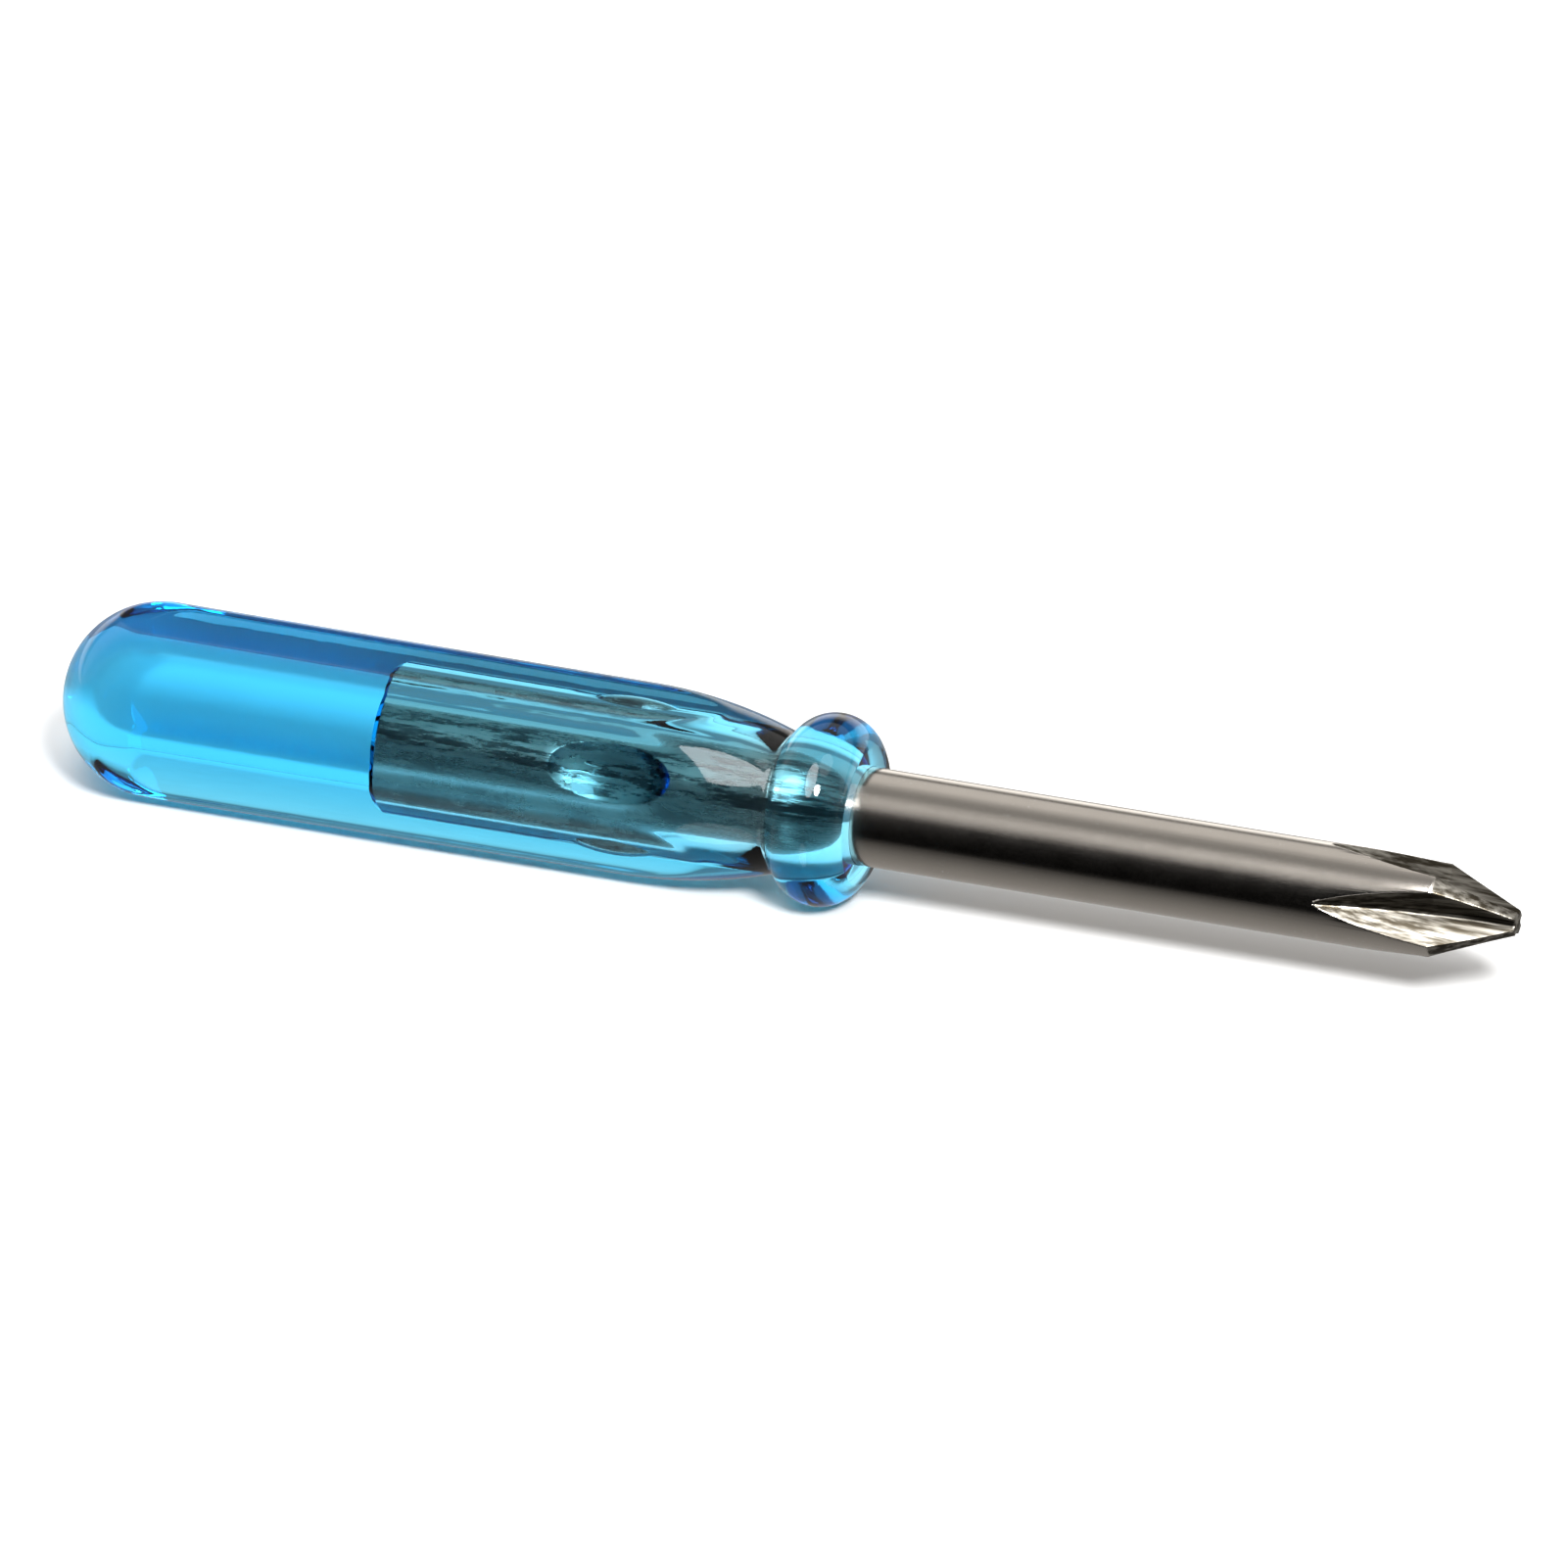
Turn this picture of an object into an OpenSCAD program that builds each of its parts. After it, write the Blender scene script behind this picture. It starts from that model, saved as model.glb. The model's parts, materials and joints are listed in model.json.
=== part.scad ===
// Miniature cross-point screwdriver: a steel blade moulded into a clear hexagonal handle.
// The tool lies along X, with its point at +X and one grip flat facing down.
// The origin is on the axis, in the front face of the collar, where the blade leaves the handle.

/* [Handle] */
// Length from the round end to the front face of the collar
handle_length = 25; // [22:0.5:32]
// Diameter over the six round edges of the grip, at its round end
grip_d = 5.8; // [5.4:0.1:7]
// Distance across two opposite flats of the grip, at its round end
grip_flats = 5.28; // [4.8:0.02:6.4]
// Angle at which the grip narrows towards the collar, so that it leaves its mould
draft = 0.25; // [0:0.05:0.5]
// Length of the rounded shoulder that brings the grip down to the neck
shoulder_length = 4.7; // [3:0.1:6]
// Diameter of the neck behind the collar
neck_d = 4.1; // [3.8:0.1:4.8]

/* [Collar] */
// Outside diameter of the collar
collar_d = 5.7; // [5.2:0.1:7]
// Radius of the round bead that forms the collar
bead_r = 1.3; // [1.25:0.05:1.4]
// Distance from the collar's flat front face back to the middle of the bead
bead_back = 1.2; // [1:0.05:1.2]

/* [Blade] */
// Length that the blade stands out of the handle
reach = 20; // [14:0.5:40]
// Diameter of the round blade
blade_d = 2.9; // [2.4:0.1:3.2]
// Length of the blade inside the handle
tang_length = 14.8; // [12:0.1:18]
// Width of the chamfer around the rear end of the blade
tang_chamfer = 0.15; // [0.05:0.05:0.3]

/* [Cross point] */
// Diameter of the flat end of the point
point_d = 0.76; // [0.5:0.02:1.2]
// Angle between the edge of a wing and the axis
wing_angle = 24.5; // [22:0.5:30]
// Radius of the wheel that cuts the flutes
flute_wheel_r = 14.8; // [10:0.2:20]
// Angle between the two walls of a flute
flute_v = 92; // [88:1:96]
// Distance from the axis to the floor of a flute, at the end of the point
flute_core_r = 0.27; // [0.2:0.01:0.35]
// Radius of the floor of a flute
flute_floor_r = 0.12; // [0.05:0.01:0.2]
// Turn of the first flute about the axis, from level
flute_turn = 11; // [0:1:90]

/* [Keys] */
// Distance from the collar's front face to the middle of the pressed keys
key_back = 7.4; // [6:0.1:10]
// Length of the pressed flats
key_flat_length = 3.8; // [2:0.1:4]
// Depth of each pressed flat
key_flat_depth = 0.4; // [0.1:0.05:0.5]
// Length of each key
key_length = 2.6; // [1.6:0.1:3]
// Width of each key
key_width = 0.9; // [0.5:0.1:1.4]
// Height of each key over the round blade
key_height = 0.3; // [0.1:0.05:0.5]
// Turn of the pressed flats about the axis, from level
key_turn = 27; // [0:1:90]

/* [Hidden] */

$fn = 96;
// Overlap of a cutter beyond what it cuts
over = 0.5;
// Overlap of neighbouring stretches of the handle's outline
lap = 0.1;

grip_r = grip_d / 2;
collar_r = collar_d / 2;
blade_r = blade_d / 2;
neck_r = neck_d / 2;

// Places along the tool, where 0 is the front face of the collar
dome_x = -handle_length + grip_r;
bead_x = -bead_back;
bead_ring_r = collar_r - bead_r;
neck_x = bead_x - sqrt(bead_r * bead_r - pow(neck_r - bead_ring_r, 2));
shoulder_x = neck_x - shoulder_length;

// The grip's radius over its round edges at a place along the tool
function drafted_r(x) = grip_r - tan(draft) * (x - dome_x);

// The grip's radius where the shoulder begins, and the shoulder's arc from there to the neck
grip_front_r = drafted_r(shoulder_x);
shoulder_drop = grip_front_r - neck_r;
shoulder_r = (pow(shoulder_length, 2) + pow(shoulder_drop, 2)) / (2 * shoulder_drop);

point_r = point_d / 2;
point_length = (blade_r - point_r) / tan(wing_angle);

// Turns a solid made along +Z so that it runs along +X, with its +X side on +Y
module along_x() {
    rotate([90, 0, 90]) children();
}

// Half outline of the handle: X is the distance from the axis, Y is the place along it
module handle_outline() {
    neck_end = neck_x + lap;
    // Grip, with its front rounded down to the neck
    difference() {
        polygon([[0, dome_x], [grip_r, dome_x], [drafted_r(neck_end), neck_end], [0, neck_end]]);
        difference() {
            translate([0, shoulder_x + lap]) square([grip_r, shoulder_length]);
            translate([grip_front_r - shoulder_r, shoulder_x]) circle(r = shoulder_r);
        }
    }
    // Core of the collar
    translate([0, neck_x]) square([bead_ring_r, -neck_x]);
    // Round bead, from the neck to the flat front face
    intersection() {
        translate([0, neck_x - lap]) square([collar_r + over, lap - neck_x]);
        translate([bead_ring_r, bead_x]) circle(r = bead_r);
    }
}

// The handle before its flats are cut
module round_handle() {
    along_x() rotate_extrude() handle_outline();
    translate([dome_x, 0, 0]) sphere(r = grip_r);
}

// One grip flat: everything above a plane that follows the draft
module flat_cutter() {
    translate([dome_x, 0, grip_flats / 2])
        rotate([0, draft, 0])
            translate([-grip_r - over, -grip_r, 0])
                cube([neck_x - dome_x + grip_r, grip_d, grip_r]);
}

// The round blade, from its rear end to its flat point
module blade_bar() {
    straight_end = reach - point_length;
    rotate([0, 90, 0]) {
        translate([0, 0, -tang_length])
            cylinder(h = tang_chamfer, r1 = blade_r - tang_chamfer, r2 = blade_r);
        translate([0, 0, tang_chamfer - tang_length])
            cylinder(h = tang_length - tang_chamfer + straight_end, r = blade_r);
        translate([0, 0, straight_end])
            cylinder(h = point_length, r1 = blade_r, r2 = point_r);
    }
}

// Two flats pressed into opposite sides of the blade
module key_flats() {
    for (side = [0, 180])
        rotate([side - key_turn, 0, 0])
            translate([-key_back - key_flat_length / 2, blade_r - key_flat_depth, -blade_r])
                cube([key_flat_length, blade_r, blade_d]);
}

// The metal that the press raised between the flats, as two keys
module keys() {
    intersection() {
        rotate([-key_turn, 0, 0])
            translate([-key_back - key_length / 2, -key_width / 2, -blade_d])
                cube([key_length, key_width, 2 * blade_d]);
        translate([-key_back - key_length, 0, 0])
            rotate([0, 90, 0])
                cylinder(h = 2 * key_length, r = blade_r + key_height);
    }
}

// The blade before its flutes are cut, which is also the shape it leaves in the handle
module keyed_bar() {
    difference() {
        blade_bar();
        key_flats();
    }
    keys();
}

// Section of a flute: two walls that lean apart from a round floor, whose lowest point is at 0, 0
module flute_section() {
    half_v = flute_v / 2;
    wall = blade_d;
    // The corner in which the two walls would meet, below the floor
    corner_y = flute_floor_r - flute_floor_r / sin(half_v);
    // Where the floor runs into the walls
    tangent_y = flute_floor_r - flute_floor_r * sin(half_v);
    difference() {
        translate([0, corner_y])
            polygon([[0, 0], [wall * tan(half_v), wall], [-wall * tan(half_v), wall]]);
        difference() {
            translate([-flute_floor_r, corner_y]) square([2 * flute_floor_r, tangent_y - corner_y]);
            translate([0, flute_floor_r]) circle(r = flute_floor_r);
        }
    }
}

// One flute: the V-shaped rim of a wheel, which is deepest at the end and rises out of the blade behind it
module flute_cutter() {
    translate([reach, flute_core_r + flute_wheel_r, 0])
        rotate_extrude()
            translate([flute_wheel_r, 0]) rotate(90) flute_section();
}

module handle() {
    color([0.16, 0.56, 0.86, 0.6])
        difference() {
            round_handle();
            for (i = [0:5]) rotate([60 * i, 0, 0]) flat_cutter();
            keyed_bar();
        }
}

module blade() {
    color([0.72, 0.70, 0.67])
        difference() {
            keyed_bar();
            for (i = [0:3]) rotate([90 * i - flute_turn, 0, 0]) flute_cutter();
        }
}

handle();
blade();
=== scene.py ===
"""A miniature cross-point screwdriver: a nickel-plated blade in a clear blue hexagonal handle."""

import json
import math
from types import SimpleNamespace

import bmesh
import bpy
from mathutils import Matrix, Vector

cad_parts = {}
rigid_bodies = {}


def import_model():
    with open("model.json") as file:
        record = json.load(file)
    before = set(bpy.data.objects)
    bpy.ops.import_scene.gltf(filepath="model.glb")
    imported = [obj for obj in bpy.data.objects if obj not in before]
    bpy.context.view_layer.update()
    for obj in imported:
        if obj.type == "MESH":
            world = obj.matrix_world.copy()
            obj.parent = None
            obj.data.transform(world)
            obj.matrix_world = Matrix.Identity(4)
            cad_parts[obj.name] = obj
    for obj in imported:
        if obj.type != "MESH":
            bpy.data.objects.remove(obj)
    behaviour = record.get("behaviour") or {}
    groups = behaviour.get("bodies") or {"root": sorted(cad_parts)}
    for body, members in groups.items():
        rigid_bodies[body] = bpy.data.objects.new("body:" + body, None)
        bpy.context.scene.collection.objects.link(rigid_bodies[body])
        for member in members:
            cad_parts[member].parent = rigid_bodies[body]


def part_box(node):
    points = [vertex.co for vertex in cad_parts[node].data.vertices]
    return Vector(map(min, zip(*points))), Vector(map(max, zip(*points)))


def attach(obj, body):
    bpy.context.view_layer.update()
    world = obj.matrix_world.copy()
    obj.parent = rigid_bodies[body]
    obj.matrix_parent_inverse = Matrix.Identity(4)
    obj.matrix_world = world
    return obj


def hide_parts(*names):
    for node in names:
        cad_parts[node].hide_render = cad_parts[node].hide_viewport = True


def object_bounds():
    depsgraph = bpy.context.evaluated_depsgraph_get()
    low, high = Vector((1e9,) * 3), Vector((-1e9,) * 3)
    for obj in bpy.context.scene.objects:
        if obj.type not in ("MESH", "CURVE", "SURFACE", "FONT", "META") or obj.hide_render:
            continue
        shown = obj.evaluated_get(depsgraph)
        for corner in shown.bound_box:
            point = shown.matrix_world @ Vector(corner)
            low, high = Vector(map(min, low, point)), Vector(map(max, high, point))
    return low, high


bl_info = {
    "name": "Miniature Screwdriver",
    "version": (1, 0, 0),
    "blender": (4, 5, 0),
    "location": "View3D > Sidebar > Screwdriver",
    "description": "Makes a miniature screwdriver with a clear moulded handle around its packed frame",
    "category": "Add Mesh",
}

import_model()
CAD_LOW, CAD_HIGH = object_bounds()
HANDLE_LOW, HANDLE_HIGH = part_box("handle")
BLADE_LOW, BLADE_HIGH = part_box("blade")

# Pieces are shaped a thousand times too large, so that every modelling threshold is small beside them
MM = 0.001
# Two points nearer than this, in shaping units, are taken as one
NEAR = 0.001
# Width of the thin crack between the tang and the plastic, in millimetres
TANG_GAP = 0.012
# Half the width of the punch that dents the tang, in millimetres
PUNCH_HALF_WIDTH = 1.7
FLATS = 6
FLUTES = 4


# ---------------------------------------------------------------- sizes and colours


def length_property(name, description, default, digits=3):
    return bpy.props.FloatProperty(
        name=name, description=description, default=default, unit="LENGTH", precision=digits + 3
    )


def angle_property(name, description, degrees):
    return bpy.props.FloatProperty(
        name=name, description=description, default=math.radians(degrees), subtype="ANGLE", unit="ROTATION"
    )


def colour_property(name, description, default):
    return bpy.props.FloatVectorProperty(
        name=name, description=description, default=default, subtype="COLOR", size=len(default), min=0, max=1
    )


def power_property(name, description, default):
    return bpy.props.FloatProperty(name=name, description=description, default=default, min=0, subtype="POWER")


class ScrewdriverHandleSizes(bpy.types.PropertyGroup):
    """Sizes of the moulded handle"""

    length: length_property("Length", "From the round end to the collar's front face", -HANDLE_LOW.x)
    grip_diameter: length_property(
        "Grip Diameter", "Over the round edges of the grip, at its round end", HANDLE_HIGH.y - HANDLE_LOW.y
    )
    grip_flats: length_property("Across Flats", "Between two opposite flats, at the round end", 5.28 * MM)
    draft: angle_property("Draft", "How the grip narrows towards the collar", 0.25)
    shoulder_length: length_property("Shoulder Length", "Of the rounded shoulder behind the neck", 4.7 * MM)
    neck_diameter: length_property("Neck Diameter", "Of the neck behind the collar", 4.1 * MM)
    collar_diameter: length_property("Collar Diameter", "Over the collar", HANDLE_HIGH.z - HANDLE_LOW.z)
    bead_radius: length_property("Bead Radius", "Of the round bead that forms the collar", 1.3 * MM)
    bead_back: length_property("Bead Place", "From the front face back to the bead's middle", 1.2 * MM)
    face_edge: length_property("Face Edge", "Rounding of the edge of the front face", 0.12 * MM)
    neck_fillet: length_property("Neck Fillet", "Rounding between neck and collar", 0.15 * MM)


class ScrewdriverBladeSizes(bpy.types.PropertyGroup):
    """Sizes of the steel blade"""

    reach: length_property("Reach", "Of the blade in front of the collar", BLADE_HIGH.x)
    diameter: length_property("Diameter", "Of the round blade", BLADE_HIGH.y - BLADE_LOW.y)
    tang_length: length_property("Tang Length", "Of the blade inside the handle", -BLADE_LOW.x)
    tang_chamfer: length_property("Tang Chamfer", "Around the rear end", 0.15 * MM)
    key_place: length_property("Key Place", "From the front face back to the middle of the keys", 7.4 * MM)
    flat_length: length_property("Pressed Flat Length", "Of the two pressed flats", 3.8 * MM)
    flat_depth: length_property("Pressed Flat Depth", "Of each pressed flat", 0.4 * MM)
    key_length: length_property("Key Length", "Of each raised key", 2.6 * MM)
    key_width: length_property("Key Width", "Of each raised key", 0.9 * MM)
    key_height: length_property("Key Height", "Of each key over the round blade", 0.3 * MM)
    key_turn: angle_property("Key Turn", "Of the pressed flats about the axis, from level", 27)
    edge: length_property("Edge Rounding", "Left on the point's edges by plating", 0.03 * MM)


class ScrewdriverPointSizes(bpy.types.PropertyGroup):
    """Sizes of the cross point"""

    end_diameter: length_property("End Diameter", "Of the flat end", 0.76 * MM)
    wing_angle: angle_property("Wing Angle", "Between the edge of a wing and the axis", 24.5)
    wheel_radius: length_property("Wheel Radius", "Of the wheel that cuts the flutes", 14.8 * MM)
    flute_v: angle_property("Flute Spread", "Between the two walls of a flute", 92)
    core_radius: length_property("Core Radius", "From the axis to a flute's floor, at the end", 0.27 * MM)
    floor_radius: length_property("Floor Radius", "Of the floor of a flute", 0.12 * MM)
    flute_turn: angle_property("Flute Turn", "Of the first flute about the axis, from level", 11)


class ScrewdriverColours(bpy.types.PropertyGroup):
    """Colours of the finishes"""

    nickel: colour_property("Nickel", "The plated blade", (0.72, 0.67, 0.61))
    tang: colour_property("Tang", "The blade where the plastic wets it", (0.60, 0.58, 0.54))
    tang_dark: colour_property("Tang Shadow", "Dull patches on the tang", (0.12, 0.12, 0.12))
    ground: colour_property("Ground Steel", "The walls of the flutes", (0.34, 0.32, 0.28))
    ground_dark: colour_property("Grinding Lines", "Dark lines on those walls", (0.05, 0.042, 0.03))
    tint: colour_property("Plastic Tint", "What the plastic lets through", (0.03, 0.785, 0.95))
    tint_depth: bpy.props.FloatProperty(
        name="Tint Strength", description="How fast the plastic takes light away, per metre", default=560, min=0
    )
    floor: colour_property("Floor", "The floor", (0.9, 0.9, 0.9))
    # Painted shadow: the colour of a dark card laid on the floor under the round of the handle, seen only through the
    # plastic
    crack: colour_property("Crack", "The dark under the round of the handle", (0.2, 0.3, 0.38))


class ScrewdriverStudio(bpy.types.PropertyGroup):
    """The camera and the lights"""

    azimuth: angle_property("Azimuth", "Of the camera round the tool, from square on", 20.9)
    elevation: angle_property("Elevation", "Of the camera above the floor", 25.5)
    field: length_property("Field", "Width of the view at the tool", 45.55 * MM)
    lens: bpy.props.FloatProperty(name="Lens", description="Focal length", default=500, unit="CAMERA")
    aim: length_property("Aim", "Place along the axis in the middle of the view", -2.56 * MM)
    rise: length_property("Rise", "Of the view's middle over the axis", 0.53 * MM)
    room: bpy.props.FloatProperty(name="Room", description="Brightness of the room", default=1.0, min=0)
    key: power_property("Key Light", "Power of the small lamp", 3.2)
    soft_box: power_property("Soft Box", "Power of the large lamp overhead", 1.6)
    top: power_property("Top Light", "Power of the lamp over the point", 0.25)
    bounce: power_property("Bounce Light", "Power of the lamp from below, which only the tang mirrors", 0.1)


GROUPS = {
    "screwdriver_handle": ScrewdriverHandleSizes,
    "screwdriver_blade": ScrewdriverBladeSizes,
    "screwdriver_point": ScrewdriverPointSizes,
    "screwdriver_colours": ScrewdriverColours,
    "screwdriver_studio": ScrewdriverStudio,
}


def shaping_sizes(group):
    """A group's values as plain numbers, with its lengths in millimetres."""
    values = {}
    for prop in group.bl_rna.properties:
        if prop.type == "FLOAT":
            value = getattr(group, prop.identifier)
            values[prop.identifier] = value / MM if prop.unit == "LENGTH" else value
    return SimpleNamespace(**values)


# ---------------------------------------------------------------- shaping tools


def start_shaping():
    """Leaves every object alone, so that the next operator acts on the new piece only."""
    if bpy.context.object and bpy.context.object.mode != "OBJECT":
        bpy.ops.object.mode_set(mode="OBJECT")
    bpy.ops.object.select_all(action="DESELECT")


def make_active(piece):
    start_shaping()
    piece.select_set(True)
    bpy.context.view_layer.objects.active = piece


def edit(piece):
    make_active(piece)
    bpy.ops.object.mode_set(mode="EDIT")
    bpy.ops.mesh.select_mode(type="VERT")
    bpy.ops.mesh.select_all(action="DESELECT")


def stop_editing():
    bpy.ops.object.mode_set(mode="OBJECT")


def select_points(piece, test):
    """Selects the points that pass the test, in edit mode, and the edges and faces between them."""
    shape = bmesh.from_edit_mesh(piece.data)
    for point in shape.verts:
        point.select_set(test(point.co))
    shape.select_flush(True)
    bmesh.update_edit_mesh(piece.data)


def radius_of(point):
    """How far a point is from the axis."""
    return math.hypot(point.y, point.z)


def turned(name, rings, around):
    """A closed round solid along X, through rings given as (place, radius), with round ends where the radius is 0."""
    start_shaping()
    place, radius = rings[0]
    bpy.ops.mesh.primitive_circle_add(
        vertices=around, radius=radius, location=(place, 0, 0), rotation=(0, math.pi / 2, 0)
    )
    piece = bpy.context.object
    piece.name = piece.data.name = name
    bpy.ops.object.transform_apply(location=True, rotation=True, scale=True)
    bpy.ops.object.mode_set(mode="EDIT")
    bpy.ops.mesh.select_all(action="SELECT")
    for next_place, next_radius in rings[1:]:
        bpy.ops.mesh.extrude_region_move(TRANSFORM_OT_translate={"value": (next_place - place, 0, 0)})
        grow = next_radius / radius
        bpy.ops.transform.resize(value=(1, grow, grow), center_override=(next_place, 0, 0))
        place, radius = next_place, next_radius
    bpy.ops.mesh.edge_face_add()
    first, first_radius = rings[0]
    select_points(piece, lambda p: abs(p.x - first) < NEAR and abs(radius_of(p) - first_radius) < NEAR)
    bpy.ops.mesh.edge_face_add()
    bpy.ops.mesh.select_all(action="SELECT")
    bpy.ops.mesh.normals_make_consistent(inside=False)
    stop_editing()
    return piece


def arc(centre, radius, start, end, steps):
    """Rings on an arc in the plane of place and radius, whose angles run from the axis direction."""
    rings = []
    for i in range(steps + 1):
        angle = start + (end - start) * i / steps
        rings.append((centre[0] + radius * math.cos(angle), centre[1] + radius * math.sin(angle)))
    return rings


def direction(here, there):
    """The angle of the line from one spot to another, from the axis."""
    return math.atan2(there[1] - here[1], there[0] - here[0])


def meeting_point(first, first_radius, second, second_radius):
    """The outer one of the two points at given distances from two centres."""
    between = second - first
    gap = between.length
    along = (first_radius**2 - second_radius**2 + gap**2) / (2 * gap)
    off = math.sqrt(first_radius**2 - along**2)
    across = Vector((-between.y, between.x)) / gap
    return first + between / gap * along + across * off


def combine(piece, tool, operation):
    """Joins or cuts a piece with a tool solid, which is used up."""
    make_active(piece)
    modifier = piece.modifiers.new("combine", "BOOLEAN")
    modifier.object = tool
    modifier.operation = operation
    modifier.solver = "EXACT"
    bpy.ops.object.modifier_apply(modifier=modifier.name)
    bpy.data.objects.remove(tool, do_unlink=True)


def lens(half_sizes, centre, turn=0.0):
    """A smooth egg-shaped tool with given half sizes, turned about the X axis after it is placed."""
    start_shaping()
    bpy.ops.mesh.primitive_uv_sphere_add(
        segments=64, ring_count=40, radius=1, location=centre, rotation=(0, math.pi / 2, 0)
    )
    tool = bpy.context.object
    bpy.ops.object.transform_apply(location=False, rotation=True, scale=True)
    tool.scale = half_sizes
    bpy.ops.object.transform_apply(location=True, rotation=True, scale=True)
    tool.rotation_euler = (turn, 0, 0)
    bpy.ops.object.transform_apply(location=True, rotation=True, scale=True)
    return tool


def finish_piece(piece, node, material, smooth_angle):
    """Shrinks a shaped piece to its real size, smooths it, and puts it in the frame in its node's place."""
    edit(piece)
    bpy.ops.mesh.select_all(action="SELECT")
    bpy.ops.mesh.normals_make_consistent(inside=False)
    stop_editing()
    piece.scale = (MM, MM, MM)
    bpy.ops.object.transform_apply(location=True, rotation=True, scale=True)
    bpy.ops.object.shade_smooth_by_angle(angle=smooth_angle, keep_sharp_edges=False)
    piece.data.materials.clear()
    piece.data.materials.append(material)
    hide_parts(node)
    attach(piece, "root")


# ---------------------------------------------------------------- shader tools


class Value:
    """A shader socket's value. Sums on it add Math nodes."""

    def __init__(self, finish, socket):
        self.finish = finish
        self.socket = socket

    def sum(self, operation, *terms):
        return self.finish.node("ShaderNodeMath", {"operation": operation}, dict(enumerate(terms)))

    def __add__(self, other):
        return self.sum("ADD", self, other)

    __radd__ = __add__

    def __mul__(self, other):
        return self.sum("MULTIPLY", self, other)

    __rmul__ = __mul__

class Nodes:
    """The nodes of a material or of the room."""

    def __init__(self, owner):
        self.owner = owner
        owner.use_nodes = True
        self.tree = owner.node_tree
        self.tree.nodes.clear()

    def node(self, kind, settings=None, sockets=None, output=0):
        """Adds a node, with its settings first and then its sockets' values or links. Gives one of its outputs."""
        node = self.tree.nodes.new(kind)
        for name, value in (settings or {}).items():
            if name == "stops":
                ramp = node.color_ramp
                while len(ramp.elements) < len(value):
                    ramp.elements.new(0.5)
                for element, (position, colour) in zip(ramp.elements, value):
                    element.position = position
                    element.color = colour
            else:
                setattr(node, name, value)
        for name, value in (sockets or {}).items():
            if isinstance(value, Value):
                self.tree.links.new(value.socket, node.inputs[name])
            else:
                node.inputs[name].default_value = value
        return Value(self, node.outputs[output])

    def step(self, value, low, high, to_low=0.0, to_high=1.0):
        """A smooth step of a value from one level to another."""
        return self.node(
            "ShaderNodeMapRange",
            {"interpolation_type": "SMOOTHSTEP"},
            {"Value": value, "From Min": low, "From Max": high, "To Min": to_low, "To Max": to_high},
        )

    def past_metal(self, clear, mirrored):
        """One value for light that crosses the plastic alone, and another for light that the tang mirrors in it."""
        # Light crosses a surface four times on its way to the tang and back, and twice otherwise
        crossings = self.node("ShaderNodeLightPath", output="Transmission Depth")
        return self.step(crossings, 3.0, 4.0, clear, mirrored)

    def close(self, kind, **shaders):
        """Adds the output node and gives back the material or world."""
        output = self.tree.nodes.new(kind)
        for name, value in shaders.items():
            self.tree.links.new(value.socket, output.inputs[name])
        return self.owner


class Finish(Nodes):
    """A material's nodes, with the patterns that the finishes share."""

    def __init__(self, name):
        super().__init__(bpy.data.materials.new(name))

    def place(self, scale):
        """Places on the piece, stretched by a scale along each axis."""
        spot = self.node("ShaderNodeTexCoord", output="Object")
        return self.node("ShaderNodeMapping", {"vector_type": "POINT"}, {"Vector": spot, "Scale": scale})

    def noise(self, scale, detail=2.0, roughness=0.5, stretch=(1, 1, 1)):
        """Cloudy noise, with its scale in waves per metre and a further scale along each axis."""
        return self.node(
            "ShaderNodeTexNoise",
            {"noise_dimensions": "3D"},
            {"Vector": self.place(stretch), "Scale": scale, "Detail": detail, "Roughness": roughness},
        )

    def blend(self, share, first, second):
        """A colour between two others."""
        return self.node("ShaderNodeMix", {"data_type": "RGBA"}, {0: share, 6: first, 7: second}, output=2)

    def bump(self, height, strength, distance):
        """A surface that leans with small heights on it."""
        return self.node(
            "ShaderNodeBump", {}, {"Height": height, "Strength": strength, "Distance": distance}
        )


def opaque(colour):
    """A colour with full alpha."""
    return (*colour, 1.0)


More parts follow.
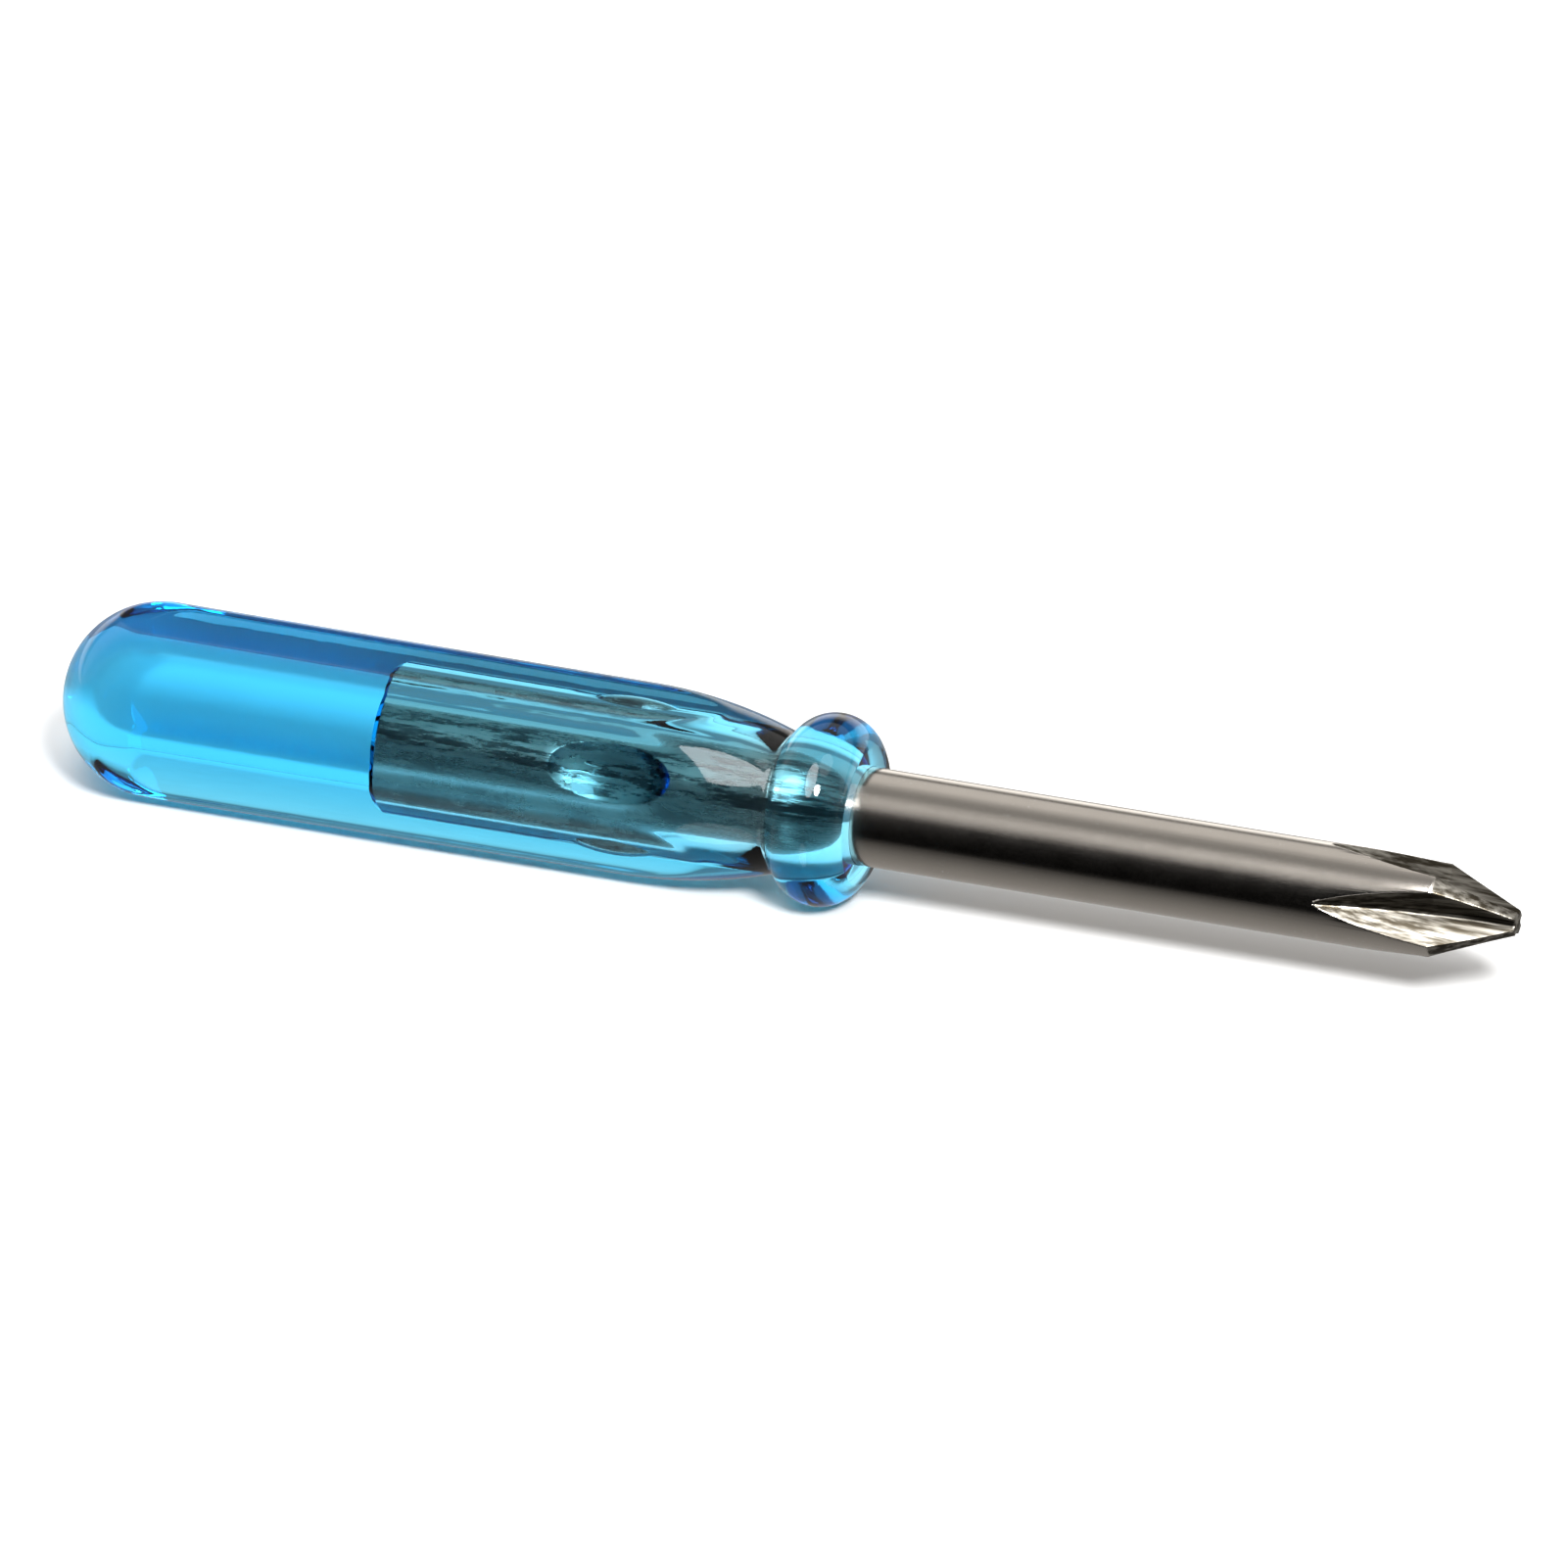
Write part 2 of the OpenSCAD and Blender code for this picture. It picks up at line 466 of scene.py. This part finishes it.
def nickel_plate(colours):
    """Satin nickel with fine lines along the blade, and a dull, mottled tang where the plastic holds it."""
    finish = Finish("nickel_plate")
    spot = finish.node("ShaderNodeTexCoord", output="Object")
    along = finish.node("ShaderNodeSeparateXYZ", {}, {"Vector": spot}, output="X")
    # Inside the handle, and on the ground walls of the flutes
    inside = finish.step(along, 0.0, -0.3 * MM)
    across = finish.place((0, 1, 1))
    from_axis = finish.node("ShaderNodeVectorMath", {"operation": "LENGTH"}, {0: across}, output="Value")
    below_skin = finish.step(from_axis, BLADE_HIGH.y - 0.005 * MM, BLADE_HIGH.y - 0.03 * MM)
    ground = finish.step(along, 13.8 * MM, 14.2 * MM) * below_skin
    streaks = finish.noise(1.0, detail=3, roughness=0.6, stretch=(260, 5200, 5200))
    lines = finish.noise(1.0, detail=3, stretch=(260, 14000, 14000))
    grain = finish.noise(9000, detail=3, roughness=0.6)
    cloud = finish.noise(900, detail=2)
    # Bright pinholes, and long dull patches on the tang
    speck = finish.step(finish.noise(15000, detail=1), 0.70, 0.78)
    patch = finish.step(finish.noise(4200, detail=4, roughness=0.7, stretch=(0.12, 1, 1)), 0.40, 0.58)

    plate = finish.blend(cloud * 0.5, opaque(colours.nickel), opaque([c * 0.8 for c in colours.nickel]))
    plate = finish.blend(speck * 0.6, plate, (0.95, 0.93, 0.9, 1))
    cut = finish.blend(
        finish.step(streaks, 0.34, 0.62), opaque(colours.ground), opaque(colours.ground_dark)
    )
    plate = finish.blend(ground, plate, cut)
    tang = finish.blend(patch, opaque(colours.tang_dark), opaque(colours.tang))
    colour = finish.blend(inside, plate, tang)
    smooth = 0.11 + cloud * 0.06 + grain * 0.08
    rough = smooth + inside * (0.03 + patch * 0.1) + ground * 0.12
    height = lines * 0.6 + grain * 0.4 + inside * patch * 4 + ground * streaks * 6
    shader = finish.node(
        "ShaderNodeBsdfPrincipled",
        {},
        {
            "Base Color": colour,
            "Metallic": 1.0,
            "Roughness": rough,
            "Normal": finish.bump(height, 0.35, 0.006 * MM),
        },
    )
    return finish.close("ShaderNodeOutputMaterial", Surface=shader)


def clear_plastic(colours):
    """Clear tinted plastic, gloss from the mould, with faint scuffs."""
    finish = Finish("clear_plastic")
    scuff = finish.step(finish.noise(700, detail=3, stretch=(0.6, 1, 1)), 0.5, 0.75)
    haze = finish.noise(300, detail=2)
    scratch = finish.noise(1.0, detail=2, stretch=(900, 7000, 7000))
    waves = finish.noise(450, detail=1)
    ripple = finish.noise(1500, detail=1, stretch=(0.5, 1, 1))
    base = finish.blend(haze, (1.0, 1.0, 1.0, 1), (0.94, 0.97, 1.0, 1))
    shader = finish.node(
        "ShaderNodeBsdfPrincipled",
        {},
        {
            "Base Color": base,
            "Metallic": 0.0,
            "Roughness": 0.015 + scuff * 0.05,
            "IOR": 1.49,
            "Specular IOR Level": 0.3,
            "Transmission Weight": 1.0,
            "Normal": finish.bump(scratch * 0.12 + waves + ripple * 0.35, 0.35, 0.02 * MM),
        },
    )
    depth = finish.node(
        "ShaderNodeVolumeAbsorption", {}, {"Color": opaque(colours.tint), "Density": colours.tint_depth}
    )
    return finish.close("ShaderNodeOutputMaterial", Surface=shader, Volume=depth)


def matt(name, base):
    """A smooth, matt ground of one tone."""
    finish = Finish(name)
    tone = finish.noise(6, detail=2)
    colour = finish.blend(tone * 0.3, opaque(base), opaque([c * 0.97 for c in base]))
    shader = finish.node("ShaderNodeBsdfPrincipled", {}, {"Base Color": colour, "Roughness": 0.8})
    # The tang mirrors the room's screens alone
    clear = finish.node("ShaderNodeBsdfTransparent", {}, {"Color": (1, 1, 1, 1)})
    shader = finish.node("ShaderNodeMixShader", {}, {0: finish.past_metal(0.0, 1.0), 1: shader, 2: clear})
    return finish.close("ShaderNodeOutputMaterial", Surface=shader)


# Brightness of the room round the tool: degrees up from level at the front of the tool, and the light from there
ROOM = (
    (-180, 0.50), (-140, 0.40), (-104, 0.32), (-80, 0.26), (-60, 0.19), (-44, 0.12), (-32, 0.05), (-25, 0.0),
    (31, 0.0), (40, 0.10), (50, 0.30), (60, 0.42), (72, 0.38), (84, 0.24), (95, 0.26), (108, 0.46),
    (120, 0.70), (146, 0.70), (149, 0.12), (157, 0.20), (161, 0.80), (169, 1.5), (179.9, 1.6),
)
# A tint for the room's light
WARM = (1.0, 0.975, 0.94)
# The least light that comes through the plastic
DIM = (0.35, 0.36, 0.38, 1)
BACKDROP = (0.95, 0.95, 0.95, 1)


def soft_room(brightness):
    """A dark room with pale screens along both sides of the tool. The camera sees a plain pale backdrop."""
    room = Nodes(bpy.data.worlds.new("room"))
    spot = room.node("ShaderNodeTexCoord", output="Generated")
    across = room.node("ShaderNodeSeparateXYZ", {}, {"Vector": spot}, output="Y")
    up = room.node("ShaderNodeSeparateXYZ", {}, {"Vector": spot}, output="Z")
    turn = up.sum("ARCTAN2", up, across * -1) * (0.5 / math.pi) + 0.5
    stops = [(degrees / 360 + 0.5, opaque([light * part for part in WARM])) for degrees, light in ROOM]
    screens = room.node("ShaderNodeValToRGB", {"stops": stops}, {"Fac": turn})
    # Only the tang, seen in the plastic, mirrors the darkest parts
    through = room.node("ShaderNodeLightPath", output="Is Transmission Ray") * room.past_metal(1.0, 0.12)
    screens = room.node(
        "ShaderNodeMix", {"data_type": "RGBA", "blend_type": "LIGHTEN"}, {0: through, 6: screens, 7: DIM}, output=2
    )
    seen = room.node("ShaderNodeLightPath", output="Is Camera Ray")
    shown = room.node(
        "ShaderNodeMix", {"data_type": "RGBA"}, {0: seen, 6: screens, 7: BACKDROP}, output=2
    )
    light = room.node("ShaderNodeBackground", {}, {"Color": shown, "Strength": brightness})
    return room.close("ShaderNodeOutputWorld", Surface=light)


# ---------------------------------------------------------------- the pieces


def handle_rings(s):
    """Rings of the handle from its round end to its front face."""
    grip_radius = s.grip_diameter / 2
    neck_radius = s.neck_diameter / 2
    dome_x = -s.length + grip_radius
    ring_radius = s.collar_diameter / 2 - s.bead_radius
    lean = math.acos((neck_radius - ring_radius) / s.bead_radius)
    neck_x = -s.bead_back - s.bead_radius * math.sin(lean)
    shoulder_x = neck_x - s.shoulder_length
    front_radius = grip_radius - math.tan(s.draft) * (shoulder_x - dome_x)
    drop = front_radius - neck_radius
    shoulder_radius = (s.shoulder_length**2 + drop**2) / (2 * drop)
    quarter = math.pi / 2

    # The fillet in the neck touches the shoulder's arc and the bead from outside
    shoulder = Vector((shoulder_x, front_radius - shoulder_radius))
    bead = Vector((-s.bead_back, ring_radius))
    fillet = meeting_point(shoulder, shoulder_radius + s.neck_fillet, bead, s.bead_radius + s.neck_fillet)
    leave_shoulder = direction(shoulder, fillet)
    reach_bead = direction(bead, fillet)
    # The edge of the front face is rounded inside the bead
    inner = s.bead_radius - s.face_edge
    edge = Vector((-s.face_edge, ring_radius + math.sqrt(inner**2 - (s.bead_back - s.face_edge) ** 2)))
    leave_bead = direction(bead, edge)

    # The dome's pole is a very small flat, closed by one face
    pole = 0.01
    dome_steps, grip_steps, bend_steps, edge_steps = 72, 30, 44, 6
    rings = arc((dome_x, 0), grip_radius, 2 * quarter - pole, quarter, dome_steps)
    for i in range(1, grip_steps):
        share = i / grip_steps
        rings.append((dome_x + (shoulder_x - dome_x) * share, grip_radius + (front_radius - grip_radius) * share))
    rings += arc(shoulder, shoulder_radius, quarter, leave_shoulder, bend_steps)
    rings += arc(fillet, s.neck_fillet, leave_shoulder - 2 * quarter, reach_bead - 2 * quarter, edge_steps)[1:]
    rings += arc(bead, s.bead_radius, reach_bead, leave_bead, bend_steps)[1:]
    rings += arc(edge, s.face_edge, leave_bead, 0, edge_steps)[1:]
    return rings, dome_x, neck_x


def press_flats(piece, s, dome_x, neck_x):
    """Presses the flats into the round grip, down to planes that follow the draft."""
    last = neck_x - 0.1
    edit(piece)
    for i in range(FLATS):
        turn = Matrix.Rotation(2 * math.pi * i / FLATS, 3, "X")
        across = turn @ Vector((math.sin(s.draft), 0, math.cos(s.draft)))
        on_flat = turn @ Vector((dome_x, 0, s.grip_flats / 2))
        basis = turn @ Matrix.Rotation(s.draft, 3, "Y")
        select_points(piece, lambda p: p.x < last and (p - on_flat).dot(across) > 0)
        bpy.ops.transform.resize(
            value=(1, 1, 0), orient_type="GLOBAL", orient_matrix=basis, orient_matrix_type="GLOBAL",
            center_override=on_flat,
        )
    stop_editing()


def soften_creases(piece, neck_x):
    """Eases the edges between the flats and the round stretches, as a mould's do."""
    last = neck_x - 0.3
    crease = math.radians(7)
    edit(piece)
    bpy.ops.mesh.select_mode(type="EDGE")
    bpy.ops.mesh.edges_select_sharp(sharpness=crease)
    bpy.ops.mesh.select_mode(type="VERT")
    shape = bmesh.from_edit_mesh(piece.data)
    for point in shape.verts:
        if point.co.x > last:
            point.select_set(False)
    shape.select_flush(False)
    bmesh.update_edit_mesh(piece.data)
    bpy.ops.mesh.select_more()
    bpy.ops.mesh.vertices_smooth(factor=0.5, repeat=5)
    stop_editing()


def keyed_bar(name, blade, point, inset, around):
    """The round blade with its pressed flats and keys, before the flutes. Inset makes it smaller all over."""
    radius = blade.diameter / 2
    straight = blade.reach - (radius - point.end_diameter / 2) / math.tan(point.wing_angle)
    rings = [
        (-blade.tang_length + inset, radius - blade.tang_chamfer - inset),
        (-blade.tang_length + blade.tang_chamfer + inset, radius - inset),
    ]
    # No ring lies in the collar's front face, which would spoil the cut
    first_ring, ring_gap, ring_count = -12.5, 1.5, 20
    rings += [(first_ring + ring_gap * i, radius - inset) for i in range(ring_count)]
    rings += [(straight, radius - inset), (blade.reach, point.end_diameter / 2)]
    bar = turned(name, rings, around)
    # The punch leaves a dished dent on either side, and its metal rises between them in two smooth ridges
    punch = blade.flat_depth * 2
    share = math.sqrt(1 - (1 - blade.flat_depth / punch) ** 2)
    half_sizes = (blade.flat_length / 2 / share + inset, punch + inset, PUNCH_HALF_WIDTH + inset)
    for side in (0, math.pi):
        centre = (-blade.key_place, -(radius - blade.flat_depth + punch), 0)
        combine(bar, lens(half_sizes, centre, side - blade.key_turn), "DIFFERENCE")
    crest = radius + blade.key_height
    share = math.sqrt(1 - (radius / crest) ** 2)
    half_sizes = (blade.key_length / 2 / share - inset, blade.key_width / 2 / share - inset, crest - inset)
    combine(bar, lens(half_sizes, (-blade.key_place, 0, 0), -blade.key_turn), "UNION")
    return bar


def flute_tool(blade, point):
    """The V-shaped rim of the wheel that cuts one flute, over the stretch that meets the blade."""
    half_v = point.flute_v / 2
    centre = Vector((blade.reach, 0, point.core_radius + point.wheel_radius))
    start_shaping()
    bpy.ops.mesh.primitive_circle_add(vertices=3, radius=1, fill_type="NGON", location=(blade.reach, 0, 0))
    tool = bpy.context.object
    bpy.ops.object.transform_apply(location=True, rotation=True, scale=True)
    # The triangle becomes the rim's section: its corner lies just under the floor, which the bevel then rounds
    corner_z = point.core_radius - point.floor_radius * (1 / math.sin(half_v) - 1)
    # The rim is cut off outside the blade
    tall = 2.2
    wide = tall * math.tan(half_v)
    edit(tool)
    for place, (y, z) in zip(list(tool.data.vertices), ((0, 0), (wide, tall), (-wide, tall))):
        spot = place.co.copy()
        select_points(tool, lambda p: (p - spot).length < NEAR)
        bpy.ops.transform.translate(value=Vector((blade.reach, y, corner_z + z)) - spot)
    select_points(tool, lambda p: p.z < corner_z + NEAR)
    bpy.ops.mesh.bevel(
        offset=point.floor_radius / math.tan(half_v), segments=8, affect="VERTICES", clamp_overlap=False
    )
    bpy.ops.mesh.select_all(action="SELECT")
    # Turns of the wheel's rim in front of the end of the point, and back to where it has left the blade
    lead = math.radians(4)
    back = math.radians(30)
    bpy.ops.transform.rotate(value=lead, orient_axis="Y", center_override=centre)
    bpy.ops.mesh.spin(steps=48, angle=-lead - back, center=centre, axis=(0, 1, 0))
    bpy.ops.mesh.select_all(action="SELECT")
    bpy.ops.mesh.normals_make_consistent(inside=False)
    stop_editing()
    return tool


# The oval lamps: each one's place, width and height, in metres
LAMPS = {
    "key": ((0.21, -0.30, 0.34), 0.12, 0.12),
    "soft_box": ((0.04, -0.265, 0.425), 0.22, 0.40),
    "top": ((0.21, -0.05, 0.45), 0.26, 0.26),
    "bounce": ((0.03, -0.42, -0.27), 0.14, 0.28),
}


def add_lamp(name, power, place, wide, tall):
    """An oval lamp that faces the tool."""
    data = bpy.data.lights.new(name, "AREA")
    data.energy = power
    data.shape = "ELLIPSE"
    data.size, data.size_y = wide, tall
    lamp = bpy.data.objects.new(name, data)
    bpy.context.scene.collection.objects.link(lamp)
    lamp.location = place
    lamp.rotation_mode = "QUATERNION"
    lamp.rotation_quaternion = (-place).to_track_quat("-Z", "Y")


class SCREWDRIVER_OT_stage(bpy.types.Operator):
    """Make the pale floor, the lamps, the room and the camera"""

    bl_idname = "screwdriver.stage"
    bl_label = "Make Stage"

    def execute(self, context):
        studio = context.scene.screwdriver_studio
        colours = context.scene.screwdriver_colours
        start_shaping()
        floor_z = CAD_LOW.z
        bpy.ops.mesh.primitive_plane_add(size=6, location=(0, 0, floor_z))
        floor = context.object
        floor.name = "floor"
        bpy.ops.object.transform_apply(location=True, rotation=True, scale=True)
        floor.data.materials.append(matt("pale_floor", colours.floor))
        # The metal mirrors the room's screens alone
        floor.visible_glossy = False

        # A dark card that paints the shadow under the round of the handle onto the floor, which only shows through
        # the plastic
        near, far, lift = 1.2 * MM, 3.4 * MM, 0.01 * MM
        bpy.ops.mesh.primitive_plane_add(size=1, location=(CAD_LOW.x / 2, (near + far) / 2, floor_z + lift))
        crack = context.object
        crack.name = "floor_shadow"
        crack.scale = (-CAD_LOW.x, far - near, 1)
        bpy.ops.object.transform_apply(location=True, rotation=True, scale=True)
        crack.data.materials.append(matt("floor_shadow", colours.crack))
        crack.visible_camera = crack.visible_diffuse = crack.visible_glossy = crack.visible_shadow = False

        aim = Vector((studio.aim, 0, 0))
        back = Vector(
            (
                math.sin(studio.azimuth) * math.cos(studio.elevation),
                -math.cos(studio.azimuth) * math.cos(studio.elevation),
                math.sin(studio.elevation),
            )
        )
        data = bpy.data.cameras.new("camera")
        data.lens = studio.lens
        data.dof.use_dof = False
        camera = bpy.data.objects.new("camera", data)
        context.scene.collection.objects.link(camera)
        camera.rotation_mode = "QUATERNION"
        camera.rotation_quaternion = (-back).to_track_quat("-Z", "Y")
        up = camera.rotation_quaternion @ Vector((0, 1, 0))
        distance = studio.field * studio.lens / data.sensor_width
        camera.location = aim + up * studio.rise + back * distance
        data.clip_start, data.clip_end = 0.01, 20
        context.scene.camera = camera

        for name, (place, wide, tall) in LAMPS.items():
            add_lamp(name, getattr(studio, name), Vector(place), wide, tall)

        context.scene.world = soft_room(studio.room)
        context.scene.view_settings.view_transform = "Standard"
        return {"FINISHED"}


class SCREWDRIVER_OT_blade(bpy.types.Operator):
    """Make the plated blade with its cross point and its keyed tang"""

    bl_idname = "screwdriver.blade"
    bl_label = "Make Blade"

    def execute(self, context):
        blade = shaping_sizes(context.scene.screwdriver_blade)
        point = shaping_sizes(context.scene.screwdriver_point)
        bar = keyed_bar("plated_blade", blade, point, inset=0.0, around=128)
        first = flute_tool(blade, point)
        for i in range(FLUTES):
            tool = first.copy()
            tool.data = first.data.copy()
            context.scene.collection.objects.link(tool)
            make_active(tool)
            tool.rotation_euler = (math.pi / 2 - point.flute_turn + 2 * math.pi * i / FLUTES, 0, 0)
            bpy.ops.object.transform_apply(location=True, rotation=True, scale=True)
            combine(bar, tool, "DIFFERENCE")
        bpy.data.objects.remove(first, do_unlink=True)
        make_active(bar)
        ease = bar.modifiers.new("edges", "BEVEL")
        ease.width = blade.edge
        ease.segments = 2
        ease.limit_method = "ANGLE"
        ease.angle_limit = math.radians(24)
        ease.use_clamp_overlap = False
        bpy.ops.object.modifier_apply(modifier=ease.name)
        # The rounding leaves the end of the point in one plane
        edit(bar)
        select_points(bar, lambda p: p.x > blade.reach - NEAR)
        bpy.ops.transform.resize(value=(0, 1, 1), center_override=(blade.reach - NEAR / 10, 0, 0))
        stop_editing()
        finish_piece(
            bar, "blade", nickel_plate(context.scene.screwdriver_colours), math.radians(24)
        )
        return {"FINISHED"}


class SCREWDRIVER_OT_handle(bpy.types.Operator):
    """Make the clear moulded handle around the tang"""

    bl_idname = "screwdriver.handle"
    bl_label = "Make Handle"

    def execute(self, context):
        s = shaping_sizes(context.scene.screwdriver_handle)
        blade = shaping_sizes(context.scene.screwdriver_blade)
        point = shaping_sizes(context.scene.screwdriver_point)
        rings, dome_x, neck_x = handle_rings(s)
        body = turned("moulded_handle", rings, around=192)
        press_flats(body, s, dome_x, neck_x)
        soften_creases(body, neck_x)
        tang_space = keyed_bar("tang_space", blade, point, inset=-TANG_GAP, around=96)
        combine(body, tang_space, "DIFFERENCE")
        finish_piece(
            body, "handle", clear_plastic(context.scene.screwdriver_colours), math.radians(32)
        )
        return {"FINISHED"}


class SCREWDRIVER_PT_panel(bpy.types.Panel):
    """Lists the screwdriver's sizes and its make buttons"""

    bl_idname = "SCREWDRIVER_PT_panel"
    bl_label = "Miniature Screwdriver"
    bl_space_type = "VIEW_3D"
    bl_region_type = "UI"
    bl_category = "Screwdriver"

    def draw(self, context):
        for operator in OPERATORS:
            self.layout.operator(operator.bl_idname)
        for name, group in GROUPS.items():
            box = self.layout.box()
            box.label(text=group.__doc__)
            for prop in group.__annotations__:
                box.prop(getattr(context.scene, name), prop)


OPERATORS = (SCREWDRIVER_OT_stage, SCREWDRIVER_OT_blade, SCREWDRIVER_OT_handle)
CLASSES = (*GROUPS.values(), *OPERATORS, SCREWDRIVER_PT_panel)


def register():
    for made in CLASSES:
        bpy.utils.register_class(made)
    for name, group in GROUPS.items():
        setattr(bpy.types.Scene, name, bpy.props.PointerProperty(type=group))


def unregister():
    for name in GROUPS:
        delattr(bpy.types.Scene, name)
    for made in reversed(CLASSES):
        bpy.utils.unregister_class(made)


def main():
    register()
    bpy.ops.screwdriver.stage()
    bpy.ops.screwdriver.blade()
    bpy.ops.screwdriver.handle()


if __name__ == "__main__":
    main()
